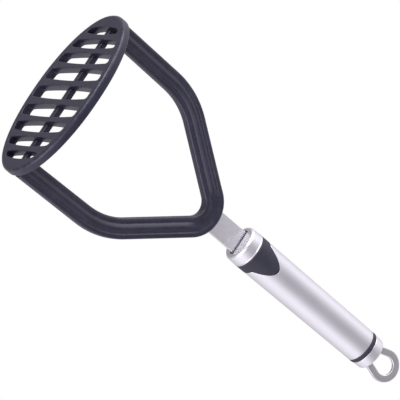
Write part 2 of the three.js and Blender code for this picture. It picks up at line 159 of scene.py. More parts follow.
def sharpness(section, radius):
    """How tightly a closed section bends at each point: its turn over its step, times a radius."""
    step_in = section - np.roll(section, 1, 0)
    step_out = np.roll(section, -1, 0) - section
    length_in, length_out = np.linalg.norm(step_in, axis=1), np.linalg.norm(step_out, axis=1)
    cosine = (step_in * step_out).sum(1) / np.maximum(length_in * length_out, 1e-18)
    turn = np.arccos(np.clip(cosine, -1, 1))
    return np.clip(turn / np.maximum(length_in + length_out, 1e-9) * 2 * radius, 0, 1)


def make(name, points, faces, edge, flat_faces=()):
    """A closed piece. Points within a tenth of a micron are merged, which closes seams and poles."""
    mesh = bpy.data.meshes.new(name)
    flat_faces = [tuple(face) for face in flat_faces]
    mesh.from_pydata(points.tolist(), [], [tuple(face) for face in faces.tolist()] + flat_faces)
    smooth = np.arange(len(mesh.polygons)) < len(faces)
    mesh.polygons.foreach_set("use_smooth", smooth)
    mesh.attributes.new("edge", "FLOAT", "POINT").data.foreach_set("value", edge.astype(np.float32))
    skin = bmesh.new()
    skin.from_mesh(mesh)
    bmesh.ops.remove_doubles(skin, verts=skin.verts, dist=MERGE_DISTANCE)
    bmesh.ops.dissolve_degenerate(skin, edges=skin.edges, dist=MERGE_DISTANCE / 10)
    bmesh.ops.recalc_face_normals(skin, faces=skin.faces)
    skin.to_mesh(mesh)
    open_edges = sum(not line.is_manifold for line in skin.edges)
    skin.free()
    piece = bpy.data.objects.new(name, mesh)
    bpy.context.scene.collection.objects.link(piece)
    print(name, "has", len(mesh.polygons), "faces and", open_edges, "open edges")
    return piece


def stands_for(piece, node, slot):
    """Shows a piece in place of a part of the engineering model, with that part's material slot."""
    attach(piece, "root")
    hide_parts(node)
    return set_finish(piece, slot)


print("a 3 by 4 tube has", len(squares(3, 4)), "faces")

# %% [markdown]
# ## Sweeping and turning
# The arms, the shank and the loop are bars: one section carried along a path. The ferrule, the ring and
# the cap are turned: one profile spun about Z. Blender's curve bevel and Screw modifier do the same,
# but worked out as arrays the section may also change on the way, which the frame's apex needs.


# %% Bars and turned pieces
def swept(path, sections):
    """A bar in the XZ plane. A point is path + section[0] * (the path's normal) + section[1] * Y. The
    sections may be one outline for the whole path or one for each of its points."""
    along = unit(np.gradient(path, axis=0))
    normal = np.stack([along[:, 2], np.zeros(len(path)), -along[:, 0]], 1)
    sections = np.broadcast_to(sections, (len(path), *sections.shape[-2:]))
    sideways = sections[:, :, :1] * normal[:, None]
    return path[:, None] + sideways + sections[:, :, 1:] * np.array([0, 1.0, 0])


def bar(name, path, sections, edge):
    """A swept bar as a closed piece: rings joined into a tube, and a flat face on each end."""
    points = swept(path, sections)
    rows, columns = points.shape[:2]
    ends = [np.arange(columns), np.arange(columns) + (rows - 1) * columns]
    edge = np.broadcast_to(edge, (rows, columns)).ravel()
    return make(name, points.reshape(-1, 3), squares(rows, columns), edge, ends)


def turned(name, profile, radius, segments=144):
    """A solid of revolution: x = r cos(angle), y = r sin(angle), z = z. Its profile is closed."""
    angle = np.linspace(0, 2 * np.pi, segments, endpoint=False)
    spin = np.stack([np.cos(angle), np.sin(angle), np.zeros(segments)], 1)
    points = profile[:, None, :1] * spin + profile[:, None, 1:] * np.array([0, 0, 1.0])
    edge = np.repeat(sharpness(profile, radius), segments)
    return make(name, points.reshape(-1, 3), squares(len(profile), segments, True), edge)


print("bars and turned pieces are ready")

# %% [markdown]
# ## The mashing plate
# The plate is one nylon moulding: an oval with nine slots that narrow towards the ends, tied together by
# a rib along the back. A Boolean could cut the slots, but it leaves knife edges. Here each slot is a
# closed line with rounded corners. A wall profile with a small radius at both faces is carried along
# that line, and the flat faces between the lines are filled with triangles.

# %% Sizes of the plate
plate_low, plate_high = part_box("mashing_plate")
HALF_LENGTH, HALF_WIDTH = plate_high.x, plate_high.y
PLATE_THICKNESS = 5.7 * MM
PLATE_EXPONENT = 2.1
SLOT_CENTRES = np.array([0, 12.9, 24.4, 34.9, 44.4]) * MM
SLOT_WIDTHS = np.array([9.6, 9, 7.9, 6.8, 5.7]) * MM
SLOT_BOW = 1.2 * MM
SLOT_RIM = 4.6 * MM
SLOT_CORNER = 2 * MM
OUTLINE_POINTS, SLOT_POINTS, ARC_STEPS = 240, 264, 5
FACE_EDGE, BACK_EDGE, SLOT_EDGE = 1.9 * MM, 0.9 * MM, 0.5 * MM
RIB_WIDTH, RIB_BOTTOM, RIB_LENGTH, RIB_RAISED = 4.4 * MM, 3 * MM, 98 * MM, 84 * MM
print("the plate is", round(2000 * HALF_LENGTH, 1), "by", round(2000 * HALF_WIDTH, 1), "mm")


# %% Lines on the plate
def oval(count):
    """|x / a| ** n + |y / b| ** n = 1, a little squarer than an ellipse."""
    angle = np.linspace(0, 2 * np.pi, 8 * count, endpoint=False)
    bend = [np.sign(f) * np.abs(f) ** (2 / PLATE_EXPONENT) for f in (np.cos(angle), np.sin(angle))]
    return spaced(np.stack([bend[0] * HALF_LENGTH, bend[1] * HALF_WIDTH], 1), count, closed=True)


def slot_line(centre, width):
    """A rounded square in shares p and v, bent into the slot: x = centre + p (width / 2 - bow v v), and
    y = v times the reach of the oval, less its rim, at that x."""
    half_length, half_width = HALF_LENGTH - SLOT_RIM, HALF_WIDTH - SLOT_RIM
    reach = half_width * (1 - (abs(centre) / half_length) ** PLATE_EXPONENT) ** (1 / PLATE_EXPONENT)
    scale = np.array([width / 2, reach])
    corners = np.array([[1, 1], [-1, 1], [-1, -1], [1, -1]]) * scale
    share = spaced(rounded(corners, SLOT_CORNER), SLOT_POINTS, closed=True) / scale
    x = centre + share[:, 0] * (width / 2 - SLOT_BOW * share[:, 1] ** 2)
    remaining = np.clip(1 - np.abs(x / half_length) ** PLATE_EXPONENT, 0, 1)
    return np.stack([x, share[:, 1] * half_width * remaining ** (1 / PLATE_EXPONENT)], 1)


def offset(line, distance):
    """A closed anticlockwise line moved outwards: each point goes along its own normal."""
    along = unit(np.roll(line, -1, 0) - np.roll(line, 1, 0))
    return line + distance * np.stack([along[:, 1], -along[:, 0]], 1)


sides = [(side, i) for i in range(5) for side in ([1] if i == 0 else [-1, 1])]
slot_lines = [slot_line(side * SLOT_CENTRES[i], SLOT_WIDTHS[i]) for side, i in sides]
print(len(slot_lines), "slots")


# %% Walls, faces and rib
def wall_profile(face_radius, back_radius):
    """Pairs of (move into the plate, z): a quarter circle, a straight wall and a quarter circle."""
    angle = np.linspace(0, np.pi / 2, ARC_STEPS + 1)
    face = np.stack([1 - np.sin(angle), 1 - np.cos(angle)], 1) * face_radius
    back = np.stack([1 - np.cos(angle), np.sin(angle) - 1], 1) * back_radius
    return np.vstack([face, back + [0, PLATE_THICKNESS]])


def wall(line, inwards, face_radius, back_radius):
    """Carries a wall profile along a closed line; inwards is 1 or -1, the way into the plate. The
    rings inside the two arcs count as sharp."""
    profile = wall_profile(face_radius, back_radius)
    moved = np.stack([offset(line, inwards * move) for move, _ in profile])
    height = np.broadcast_to(profile[:, 1][:, None, None], (*moved.shape[:2], 1))
    edge = np.zeros(moved.shape[:2])
    edge[1:ARC_STEPS] = edge[ARC_STEPS + 2 : 2 * ARC_STEPS + 1] = 1
    return np.concatenate([moved, height], 2), edge


def inside(points, line):
    """Which points lie in a closed line: those from which a ray along X crosses it an odd number of
    times. An edge is crossed where its ends are on two sides of the ray and x is short of the hit."""
    start, end = line[:, None], np.roll(line, -1, 0)[:, None]
    apart = (start[..., 1] > points[:, 1]) != (end[..., 1] > points[:, 1])
    rise = np.where(apart, end[..., 1] - start[..., 1], 1)
    hit = start[..., 0] + (points[:, 1] - start[..., 1]) / rise * (end[..., 0] - start[..., 0])
    return (apart & (points[:, 0] < hit)).sum(0) % 2 == 1


def filled(lines, z):
    """Triangles between an outer line and the holes in it, all at one height."""
    flat = np.vstack(lines)
    starts = np.cumsum([0] + [len(line) for line in lines])
    rings = [np.arange(a, b) for a, b in zip(starts[:-1], starts[1:])]
    edges = np.vstack([np.stack([ring, np.roll(ring, -1)], 1) for ring in rings])
    found = delaunay_2d_cdt([Vector(p) for p in flat], edges.tolist(), [], 2, 1e-9)
    points, triangles = np.array([tuple(p) for p in found[0]]), np.array(found[2])
    middles = points[triangles].mean(1)
    in_slot = np.any([inside(middles, line) for line in lines[1:]], axis=0)
    return np.column_stack([points, np.full(len(points), z)]), triangles[~in_slot]


def plate():
    """The walls of the outline and of each slot, and the two flat faces, as one closed skin."""
    outline = oval(OUTLINE_POINTS)
    radii = [(FACE_EDGE, BACK_EDGE)] + [(SLOT_EDGE, SLOT_EDGE)] * len(slot_lines)
    lines = [outline] + slot_lines
    walls = [wall(line, -1 if line is outline else 1, *r) for line, r in zip(lines, radii)]
    points, faces, edge, flat_faces, used = [], [], [], [], 0
    for rings, sharp in walls:
        points.append(rings.reshape(-1, 3))
        edge.append(sharp.ravel())
        faces.append(squares(*rings.shape[:2]) + used)
        used += len(points[-1])
    for ring, z in ((0, 0.0), (-1, PLATE_THICKNESS)):
        skin, triangles = filled([rings[ring, :, :2] for rings, _ in walls], z)
        points.append(skin)
        edge.append(np.zeros(len(skin)))
        flat_faces += (triangles + used).tolist()
        used += len(skin)
    return np.vstack(points), np.vstack(faces), np.concatenate(edge), flat_faces


def rib(count=240, radius=0.5 * MM):
    """A bar along X. Its top runs just under the back face near the ends of the plate, and rises to the
    raised height between the arms along a smooth step 2 mm long."""
    x = np.linspace(-RIB_LENGTH / 2, RIB_LENGTH / 2, count)
    rise = np.clip((RIB_RAISED / 2 - np.abs(x)) / (2 * MM), 0, 1)
    rise = rise * rise * (3 - 2 * rise)
    low, high, half = RIB_BOTTOM, PLATE_THICKNESS - 0.05 * MM, RIB_WIDTH / 2
    section = rounded([[low, -half], [high, -half], [high, half], [low, half]], radius)
    sections = np.repeat(section[None] * [-1, 1], count, 0)
    upper = section[:, 0] > (low + high) / 2
    sections[:, upper, 0] -= rise[:, None] * (plate_high.z - high)
    path = np.stack([x, 0 * x, 0 * x], 1)
    return path, sections, sharpness(section, radius)


plate_points, plate_faces, plate_edge, plate_flats = plate()
mashing_plate = make("plate_skin", plate_points, plate_faces, plate_edge, plate_flats)
stands_for(mashing_plate, "mashing_plate", "nylon")
back_rib = bar("back_rib", *rib())
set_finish(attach(back_rib, "root"), "nylon")

# %% [markdown]
# ## The frame
# The frame is a second nylon moulding, with a raised bead along each arm between two grooves and two
# flanges. At the top, where the steel goes in, the relief fades into a shallow dish. A sweep suits it,
# because the section can change from point to point along the path.

# %% Sizes of the frame
ARM_WIDTH, ARM_EXPONENT = 12.8 * MM, 5
FLANGE, BEAD, GROOVE = 3.2 * MM, 0.7 * MM, 0.6 * MM
BEAD_HALF, GROOVE_AT, GROOVE_SPREAD = 2.3 * MM, 2.9 * MM, 0.75 * MM
DISH_LEVEL, DISH_DEPTH, DISH_SPREAD = 3.8 * MM, 1.25 * MM, 3.2 * MM
FADE_START, FADE_END = 6 * MM, 18 * MM
PEG_DEPTH, SEAM = 3.6 * MM, 0.3 * MM
FOOT_X, FOOT_Z = 49.4 * MM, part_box("frame")[0].z + PEG_DEPTH + SEAM
BEND_X, BEND_Z, BEND_RADIUS = 47.7 * MM, 68.6 * MM, 46 * MM
APEX_Z, APEX_RADIUS = 131.3 * MM, 14.5 * MM
print("the arms start at", round(FOOT_Z / MM, 2), "mm")


# %% Path and section of the frame
def frame_path(count=340):
    """Straight runs between rounded corners: foot, bend, apex, bend and foot."""
    corners = [[-FOOT_X, 0, FOOT_Z], [-BEND_X, 0, BEND_Z], [0, 0, APEX_Z]]
    corners += [[BEND_X, 0, BEND_Z], [FOOT_X, 0, FOOT_Z]]
    radii = [0, BEND_RADIUS, APEX_RADIUS, BEND_RADIUS, 0]
    return spaced(rounded(corners, radii, 40, closed=False), count)


def arm_sections(path, count=176):
    """Half the thickness over the width u is flange + bead (1 + cos(pi u / b)) / 2 - groove, or near
    the apex a dish, and both die away at the edges as (1 - |u / w| ** n) ** (1 / n)."""
    turn = np.linspace(0, 2 * np.pi, count, endpoint=False)
    share = np.cos(turn)
    u = np.abs(share) * ARM_WIDTH / 2
    bead = BEAD * (1 + np.cos(np.pi * np.clip(u / BEAD_HALF, 0, 1))) / 2
    groove = GROOVE * np.exp(-(((u - GROOVE_AT) / GROOVE_SPREAD) ** 2))
    ribbed = FLANGE + bead - groove
    dished = DISH_LEVEL - DISH_DEPTH * np.exp(-((u / DISH_SPREAD) ** 2))
    step = np.linalg.norm(np.diff(path, axis=0), axis=1).mean()
    from_apex = np.abs(np.arange(len(path)) - (len(path) - 1) / 2) * step
    fade = np.clip((from_apex - FADE_START) / (FADE_END - FADE_START), 0, 1)[:, None]
    fade = fade * fade * (3 - 2 * fade)
    half = fade * ribbed + (1 - fade) * dished
    round_off = np.clip(1 - np.abs(share) ** ARM_EXPONENT, 0, 1) ** (1 / ARM_EXPONENT)
    across = np.broadcast_to(share * ARM_WIDTH / 2, half.shape)
    return np.stack([across, np.sign(np.sin(turn)) * half * round_off], 2)


arm_path = frame_path()
arms = arm_sections(arm_path)
arm_edge = sharpness(arms[0], 0.5 * MM)
stands_for(bar("frame_arms", arm_path, arms, arm_edge), "frame", "nylon")

# %% [markdown]
# ## Shank and loop
# Both are stamped from sheet steel, so both are flat strips with lightly broken edges. The shank runs
# straight from the apex into the handle. The loop comes out of the cap, opens at a small bend and goes
# round the hole for a hook.


# %% Strips of sheet steel
def strip_section(width, thickness, radius):
    """A rectangle of width by thickness with rounded corners."""
    w, t = width / 2, thickness / 2
    return rounded([[w, t], [-w, t], [-w, -t], [w, -t]], radius, 5)


def loop_path(leg_x, foot_z, bend_z, radius, centre_z):
    """Up a leg, along the tangent to the ring, round the ring, and back the same way."""
    away = np.array([-leg_x, bend_z - centre_z])
    start = np.arctan2(away[1], away[0]) - np.arccos(radius / np.linalg.norm(away))
    angle = np.linspace(start, -3 * np.pi - start, 120)
    ring = np.stack([radius * np.cos(angle), 0 * angle, centre_z + radius * np.sin(angle)], 1)
    leg = rounded([[-leg_x, 0, foot_z], [-leg_x, 0, bend_z], ring[0]], [0, 4 * MM, 0], 12, closed=False)
    other = leg[::-1] * [-1, 1, 1]
    return spaced(np.vstack([leg, ring[1:-1], other]), 260)


shank_low, shank_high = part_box("shank")
SHANK_EDGE, SHANK_ROWS = 0.35 * MM, 40
shank_outline = strip_section(shank_high.x - shank_low.x, shank_high.y - shank_low.y, SHANK_EDGE)
shank_levels = np.linspace(shank_low.z, shank_high.z, SHANK_ROWS)
shank_path = np.stack([0 * shank_levels, 0 * shank_levels, shank_levels], 1)
shank = bar("shank_strip", shank_path, shank_outline, sharpness(shank_outline, SHANK_EDGE))
stands_for(shank, "shank", "satin_steel")

LOOP_WIDTH, LOOP_THICKNESS, LOOP_EDGE = 4.4 * MM, 2 * MM, 0.5 * MM
loop_line = loop_path(leg_x=5.5 * MM, foot_z=240 * MM, bend_z=264 * MM, radius=7.9 * MM, centre_z=273 * MM)
loop_outline = strip_section(LOOP_WIDTH, LOOP_THICKNESS, LOOP_EDGE)
loop = bar("loop_strip", loop_line, loop_outline, sharpness(loop_outline, LOOP_EDGE))
stands_for(loop, "hanging_loop", "stamped_steel")

# %% [markdown]
# ## Ferrule, ring and cap
# These are turned pieces. The ferrule closes the front of the handle: a nearly flat face, a soft
# shoulder, and a small lip that grips the rubber. A black ring and a steel cap close the rear. The
# slots for the shank and for the loop's legs are not cut here: those pieces fill them, so they simply
# pass through the steel.

# %% Turned profiles
ferrule_low, ferrule_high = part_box("ferrule")
HANDLE_RADIUS = ferrule_high.x
FERRULE_FRONT, FERRULE_REAR = ferrule_low.z, ferrule_high.z
SHOULDER, FACE_WALL, SKIRT_WALL = 1.2 * MM, 1.6 * MM, 0.9 * MM
LIP_LENGTH, LIP_RISE, LIP_GROOVE = 0.7 * MM, 0.1 * MM, 0.25 * MM
ferrule_corners = [
    [0, FERRULE_FRONT],
    [HANDLE_RADIUS - SHOULDER, FERRULE_FRONT],
    [HANDLE_RADIUS - 0.2 * MM, FERRULE_FRONT + SHOULDER],
    [HANDLE_RADIUS, FERRULE_REAR - 1.3 * MM],
    [HANDLE_RADIUS - LIP_GROOVE, FERRULE_REAR - 1 * MM],
    [HANDLE_RADIUS + LIP_RISE, FERRULE_REAR - LIP_LENGTH],
    [HANDLE_RADIUS + LIP_RISE, FERRULE_REAR],
    [HANDLE_RADIUS - SKIRT_WALL, FERRULE_REAR],
    [HANDLE_RADIUS - SKIRT_WALL, FERRULE_FRONT + 3 * MM],
    [HANDLE_RADIUS - 2.5 * MM, FERRULE_FRONT + FACE_WALL],
    [0, FERRULE_FRONT + FACE_WALL],
]
ferrule_radii = np.array([0, 0.7, 1.3, 0.1, 0.1, 0.2, 0.3, 0.1, 0.1, 0.1, 0]) * MM
ferrule_profile = rounded(ferrule_corners, ferrule_radii)
stands_for(turned("ferrule_turned", ferrule_profile, 0.5 * MM), "ferrule", "satin_steel")

ring_low, ring_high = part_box("rear_ring")
RING_WALL, RING_EDGE = 1.7 * MM, 0.35 * MM
REAR_RADIUS, BORE = ring_high.x, ring_high.x - RING_WALL
ring_corners = [[BORE, ring_low.z], [REAR_RADIUS, ring_low.z]]
ring_corners += [[REAR_RADIUS, ring_high.z], [BORE, ring_high.z]]
ring = turned("ring_turned", rounded(ring_corners, RING_EDGE), RING_EDGE)
stands_for(ring, "rear_ring", "soft_grip")

CAP_WALL = 1 * MM
cap_low, cap_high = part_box("end_cap")
cap_corners = [
    [BORE, cap_low.z],
    [REAR_RADIUS - 0.2 * MM, cap_low.z],
    [REAR_RADIUS - 0.5 * MM, cap_high.z],
    [0, cap_high.z],
    [0, cap_high.z - CAP_WALL],
    [BORE, cap_high.z - CAP_WALL],
]
cap_radii = np.array([0.1, 0.25, 1.5, 0, 0, 0.2]) * MM
stands_for(turned("cap_turned", rounded(cap_corners, cap_radii), 0.6 * MM), "end_cap", "satin_steel")

# %% [markdown]
# ## The seal round the shank
# A thin black collar fills the ferrule's slot. It is a small rounded section carried round a rounded
# rectangle, and it stands a little proud, so it draws a dark line round the steel.

# %% Seal
SEAL_CORNER, SEAL_WALL, SEAL_EDGE, SEAL_POINTS = 0.8 * MM, 0.7 * MM, 0.2 * MM, 160
seal_low, seal_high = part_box("shank_seal")
seal_outline = strip_section(seal_high.x * 2, seal_high.y * 2, SEAL_CORNER)
seal_line = spaced(seal_outline, SEAL_POINTS, closed=True)
seal_corners = [[0, seal_low.z], [0, seal_high.z], [-SEAL_WALL, seal_high.z], [-SEAL_WALL, seal_low.z]]
seal_section = rounded(seal_corners, SEAL_EDGE, 3)
seal_rings = [np.column_stack([offset(seal_line, d), np.full(SEAL_POINTS, z)]) for d, z in seal_section]
seal_points = np.vstack(seal_rings)
seal_faces = squares(len(seal_section), SEAL_POINTS, True)
seal = make("seal_collar", seal_points, seal_faces, np.zeros(len(seal_points)))
stands_for(seal, "shank_seal", "soft_grip")

# %% [markdown]
# ## Soft grip and handle tube
# The rubber is a band with a tongue on the front and one on the back, let into the steel tube. Both are
# thin shells between two edge lines that rise and fall round the handle, so one function makes both.
# Each shell has rounded edges, and the gap between them reads as a fine groove.

# %% Sizes of the handle
GRIP_Z, TUBE_END = FERRULE_REAR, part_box("handle_tube")[1].z
BAND, TONGUE, TONGUE_ANGLE, TONGUE_TURN = 6.6 * MM, 12 * MM, *np.radians([58, 9])
TUBE_WALL, TUBE_EDGE, GRIP_EDGE, GROOVE_WIDTH = 0.7 * MM, 0.3 * MM, 0.35 * MM, 0.3 * MM
print("the handle goes from", round(GRIP_Z / MM, 1), "to", round(TUBE_END / MM, 1), "mm")


# %% Shells round the handle
def grip_top(angle):
    """Band + tongue (1 - (a / a0) ** 2) ** 1.5, with a measured from the middle of the nearer tongue,
    which sits a few degrees off the Y axis."""
    from_tongue = np.abs(np.mod(angle - TONGUE_TURN, np.pi) - np.pi / 2)
    share = np.clip(from_tongue / TONGUE_ANGLE, 0, 1)
    return GRIP_Z + BAND + TONGUE * (1 - share**2) ** 1.5


def wall_section(edge, thickness, rows=40):
    """A shell's own section as (share of the height, extra height, depth): up the outside, over the
    top edge, down the inside and round the bottom edge."""
    share = np.linspace(0, 1, rows)
    angle = np.linspace(0, np.pi / 2, ARC_STEPS + 1)[1:]
    zero = 0 * angle
    outside = np.stack([share, edge * (1 - 2 * share), 0 * share], 1)
    top = np.stack([zero + 1, edge * (np.sin(angle) - 1), edge * (1 - np.cos(angle))], 1)
    inner = np.array([[1, 0, thickness], [0, 0, thickness]])
    bottom = np.stack([zero, edge * (1 - np.sin(angle)), edge * (1 - np.cos(angle))], 1)[::-1]
    return np.vstack([outside, top, inner, bottom])


def shell(name, low, high, edge_radius, segments=288):
    """x, y = (handle radius at z, less depth) (cos, sin), z = low + share (high - low) + extra."""
    angle = np.linspace(0, 2 * np.pi, segments, endpoint=False)
    share, extra, depth = wall_section(edge_radius, TUBE_WALL).T[:, :, None]
    z = low(angle) + share * (high(angle) - low(angle)) + extra
    taper = (z - GRIP_Z) / (TUBE_END - GRIP_Z)
    radius = HANDLE_RADIUS + taper * (REAR_RADIUS - HANDLE_RADIUS) - depth
    points = np.stack([radius * np.cos(angle), radius * np.sin(angle), z], 2)
    edge = np.broadcast_to((depth > 0) & (depth < TUBE_WALL), z.shape).ravel()
    return make(name, points.reshape(-1, 3), squares(len(share), segments, True), edge)


soft_grip = shell("grip_shell", lambda a: GRIP_Z + SEAM + 0 * a, grip_top, GRIP_EDGE)
stands_for(soft_grip, "soft_grip", "soft_grip")
tube = shell("tube_shell", lambda a: grip_top(a) + GROOVE_WIDTH, lambda a: TUBE_END + 0 * a, TUBE_EDGE)
stands_for(tube, "handle_tube", "satin_steel")

# %% [markdown]
# ## Writing finishes as sums
# A finish is a small network of nodes. Sums of masks are easier to read as sums, so `Wire` wraps an
# output socket and adds a Math node for each sign, and `Finish.add` makes any other node from its type,
# its settings and what goes into its sockets.


# %% Wires and finishes
class Wire:
    """An output socket that can stand in a sum. A number on either side of the sign is allowed."""

    def __init__(self, finish, socket):
        self.finish, self.socket = finish, socket

    def math(self, operation, first, second):
        return self.finish.add("Math", {"operation": operation}, {0: first, 1: second})

    def __add__(self, other):
        return self.math("ADD", self, other)

    def __sub__(self, other):
        return self.math("SUBTRACT", self, other)

    def __rsub__(self, other):
        return self.math("SUBTRACT", other, self)

    def __mul__(self, other):
        return self.math("MULTIPLY", self, other)

    __radd__, __rmul__ = __add__, __mul__


class Finish:
    """A material under construction."""

    def __init__(self, name):
        self.material = bpy.data.materials.new(name)
        self.material.use_nodes = True
        self.tree = self.material.node_tree
        self.tree.nodes.clear()

    def add(self, kind, settings=None, inputs=None, output=0):
        """Makes a node, sets it up, feeds its sockets with wires or values, and returns one output."""
        node = self.tree.nodes.new("ShaderNode" + kind)
        for key, value in (settings or {}).items():
            setattr(node, key, value)
        for key, value in (inputs or {}).items():
            if isinstance(value, Wire):
                self.tree.links.new(value.socket, node.inputs[key])
            else:
                node.inputs[key].default_value = value
        return None if output is None else Wire(self, node.outputs[output])


# %% Patterns shared by the finishes
class Surface(Finish):
    """A finish for a solid surface, with the patterns that more than one finish uses."""

    def __init__(self, name):
        super().__init__(name)
        self.place = self.add("TexCoord", output="Object")

    def noise(self, size, detail=2.0, stretch=(1, 1, 1)):
        """Smooth spots about `size` metres apart, drawn out along an axis by a stretch above 1."""
        scale = [1 / value for value in stretch]
        place = self.add("Mapping", inputs={"Vector": self.place, "Scale": scale})
        inputs = {"Vector": place, "Scale": 1 / size, "Detail": detail}
        return self.add("TexNoise", {"noise_dimensions": "3D"}, inputs, output=0)

    def between(self, value, low, high, to_low=0.0, to_high=1.0):
        """Turns low..high into to_low..to_high along a smooth step."""
        inputs = {"Value": value, "From Min": low, "From Max": high}
        inputs |= {"To Min": to_low, "To Max": to_high}
        return self.add("MapRange", {"interpolation_type": "SMOOTHSTEP"}, inputs)

    def mixed(self, share, first, second):
        """Two colours, mixed by a share from 0 to 1."""
        first = first if isinstance(first, Wire) else (*first, 1)
        inputs = {0: share, 6: first, 7: (*second, 1)}
        return self.add("Mix", {"data_type": "RGBA"}, inputs, output=2)

    def edges(self):
        return self.add("Attribute", {"attribute_name": "edge"}, output="Fac")

    def bump(self, height, depth, strength):
        inputs = {"Height": height, "Distance": depth, "Strength": strength}
        return self.add("Bump", inputs=inputs)

    def done(self, colour, roughness, normal, **fixed):
        """The shader itself. Fixed numbers are set on its own sockets."""
        inputs = {"Base Color": colour, "Roughness": roughness, "Normal": normal, **fixed}
        shader = self.add("BsdfPrincipled", inputs=inputs)
        self.add("OutputMaterial", inputs={"Surface": shader}, output=None)
        print("finish", self.material.name, "has", len(self.tree.nodes), "nodes")
        return self.material


# %% [markdown]
# ## Nylon
# Glass-filled nylon is charcoal with a trace of violet. The mould leaves a fine grain, the glass makes
# faint cloudy flow marks, and handling polishes the edges, so they are a little smoother. The edges are
# also painted a little lighter, partly as that wear and partly as a painted highlight.


# %% Nylon finish
def nylon():
    it = Surface("nylon")
    grain = it.noise(0.5 * MM, 3.0)
    flow = it.noise(9 * MM, 4.0)
    # Edge mask, broken by noise: edges wear smoother, and are painted lighter, partly as wear and partly
    # as a painted highlight.
    wear_and_highlight = it.edges() * it.between(it.noise(2.5 * MM), 0.35, 0.7)
    colour = it.mixed(it.between(flow, 0.3, 0.7), (0.012, 0.012, 0.024), (0.018, 0.017, 0.034))
    colour = it.mixed(wear_and_highlight * 0.5, colour, (0.06, 0.056, 0.085))
    roughness = 0.33 + grain * 0.06 + it.between(flow, 0.3, 0.7) * 0.05 - wear_and_highlight * 0.06
    fixed = {"Specular IOR Level": 0.5, "Specular Tint": (0.91, 0.89, 1.0, 1)}
    return it.done(colour, roughness, it.bump(grain, 0.03 * MM, 0.4), **fixed)


# %% [markdown]
# ## Soft grip
# The grip is a soft-touch rubber: nearly black, quite rough, with a fine stipple and a faint bloom where
# it has been wiped.


# %% Rubber finish
def rubber():
    it = Surface("soft_touch_rubber")
    stipple = it.add("TexVoronoi", {"feature": "F1"}, {"Vector": it.place, "Scale": 1 / (0.6 * MM)})
    bloom = it.between(it.noise(5 * MM, 4.0), 0.4, 0.75)
    # Edges painted lighter, partly as wear and partly as a painted highlight.
    wear_and_highlight = it.edges() * 0.5
    colour = it.mixed(bloom, (0.018, 0.017, 0.034), (0.024, 0.023, 0.043))
    colour = it.mixed(wear_and_highlight, colour, (0.06, 0.058, 0.075))
    roughness = 0.58 + bloom * 0.1 + stipple * 0.06
    return it.done(colour, roughness, it.bump(stipple, 0.02 * MM, 0.5))


# %% [markdown]
# ## Satin steel
# The handle, the shank, the ferrule and the cap are brushed and then blasted to a satin. Noise that is
# drawn out along the handle gives the brush lines, a finer noise gives the blasting, and edges are
# smoother because they are polished by use. They are also painted brighter, partly as that polish and
# partly as a painted highlight. The stamped loop is only tumbled, so it is duller.


# %% Steel finishes
def steel(name, light, dark, rough, brush, streak):
    """Brushed along Z by `streak` times; `brush` is how deep the lines are."""
    it = Surface(name)
    lines = it.noise(0.35 * MM, 3.0, (1, 1, streak))
    blast = it.noise(0.25 * MM, 2.0)
    cloud = it.between(it.noise(14 * MM, 3.0), 0.3, 0.7)
    # Edges: smoother from polish, and painted brighter, partly as that polish and partly as a painted
    # highlight.
    wear_and_highlight = it.edges() * 0.6
    colour = it.mixed(it.between(lines, 0.3, 0.7), light, dark)
    colour = it.mixed(wear_and_highlight, colour, (0.84, 0.83, 0.86))
    roughness = rough + lines * 0.10 + cloud * 0.04 - wear_and_highlight * 0.06
    normal = it.bump(lines * 0.8 + blast * 0.2, brush, 0.3)
    return it.done(colour, roughness, normal, Metallic=1.0)


finishes = {
    "nylon": nylon(),
    "soft_grip": rubber(),
    "satin_steel": steel("satin_steel", (0.80, 0.785, 0.83), (0.76, 0.745, 0.79), 0.32, 0.008 * MM, 40),
    "stamped_steel": steel("stamped_steel", (0.53, 0.51, 0.54), (0.47, 0.45, 0.48), 0.42, 0.02 * MM, 2),
}


# %% [markdown]
# ## The hidden core
# The plastic core and the plug never show from outside, but they are part of the model, so they get the
# plain look of moulded nylon straight from the tool.


# %% Core finish and who wears what
def core_nylon():
    it = Surface("core_nylon")
    cloud = it.between(it.noise(6 * MM, 3.0), 0.35, 0.65)
    colour = it.mixed(cloud, (0.08, 0.08, 0.09), (0.11, 0.11, 0.12))
    return it.done(colour, 0.5 + cloud * 0.15, it.bump(it.noise(0.6 * MM), 0.03 * MM, 0.5))


finishes["core_nylon"] = core_nylon()
slot_of = {part["node"]: part["material_slot"] for part in frame["record"]["subparts"]}
shown = {piece: piece["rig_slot"] for piece in bpy.context.scene.objects if "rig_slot" in piece}
shown |= {part: slot_of[name] for name, part in frame["nodes"].items()}
for piece, name in shown.items():
    piece.data.materials.clear()
    piece.data.materials.append(finishes[name])
print("finishes on", len(shown), "pieces")

# %% [markdown]
# ## The floor
# The masher stands on a wide pale floor. The camera looks up at the mashing face from below, so the
# floor is one-sided: its back is clear. It shows to the camera only, so it throws no light on the
# masher and doesn't show in the steel.


# %% Floor
def floor_finish():
    it = Finish("pale_floor")
    back = it.add("NewGeometry", output="Backfacing")
    paint = it.add("BsdfDiffuse", inputs={"Color": (0.9, 0.9, 0.91, 1)})
    clear = it.add("BsdfTransparent")
    skin = it.add("MixShader", inputs={0: back, 1: paint, 2: clear})
    it.add("OutputMaterial", inputs={"Surface": skin}, output=None)
    return it.material


FLOOR_HALF, FLOOR_DROP = 9.0, 0.5 * MM
floor_mesh = bpy.data.meshes.new("floor")
corners = np.array([[-1, -1, 0], [1, -1, 0], [1, 1, 0], [-1, 1, 0]]) * FLOOR_HALF
corners[:, 2] = measured[0].z - FLOOR_DROP
floor_mesh.from_pydata(corners.tolist(), [], [(0, 1, 2, 3)])
floor_mesh.materials.append(floor_finish())
floor = bpy.data.objects.new("floor", floor_mesh)
bpy.context.scene.collection.objects.link(floor)
floor.visible_diffuse = floor.visible_glossy = floor.visible_shadow = False
print("the floor is", 2 * FLOOR_HALF, "m across")

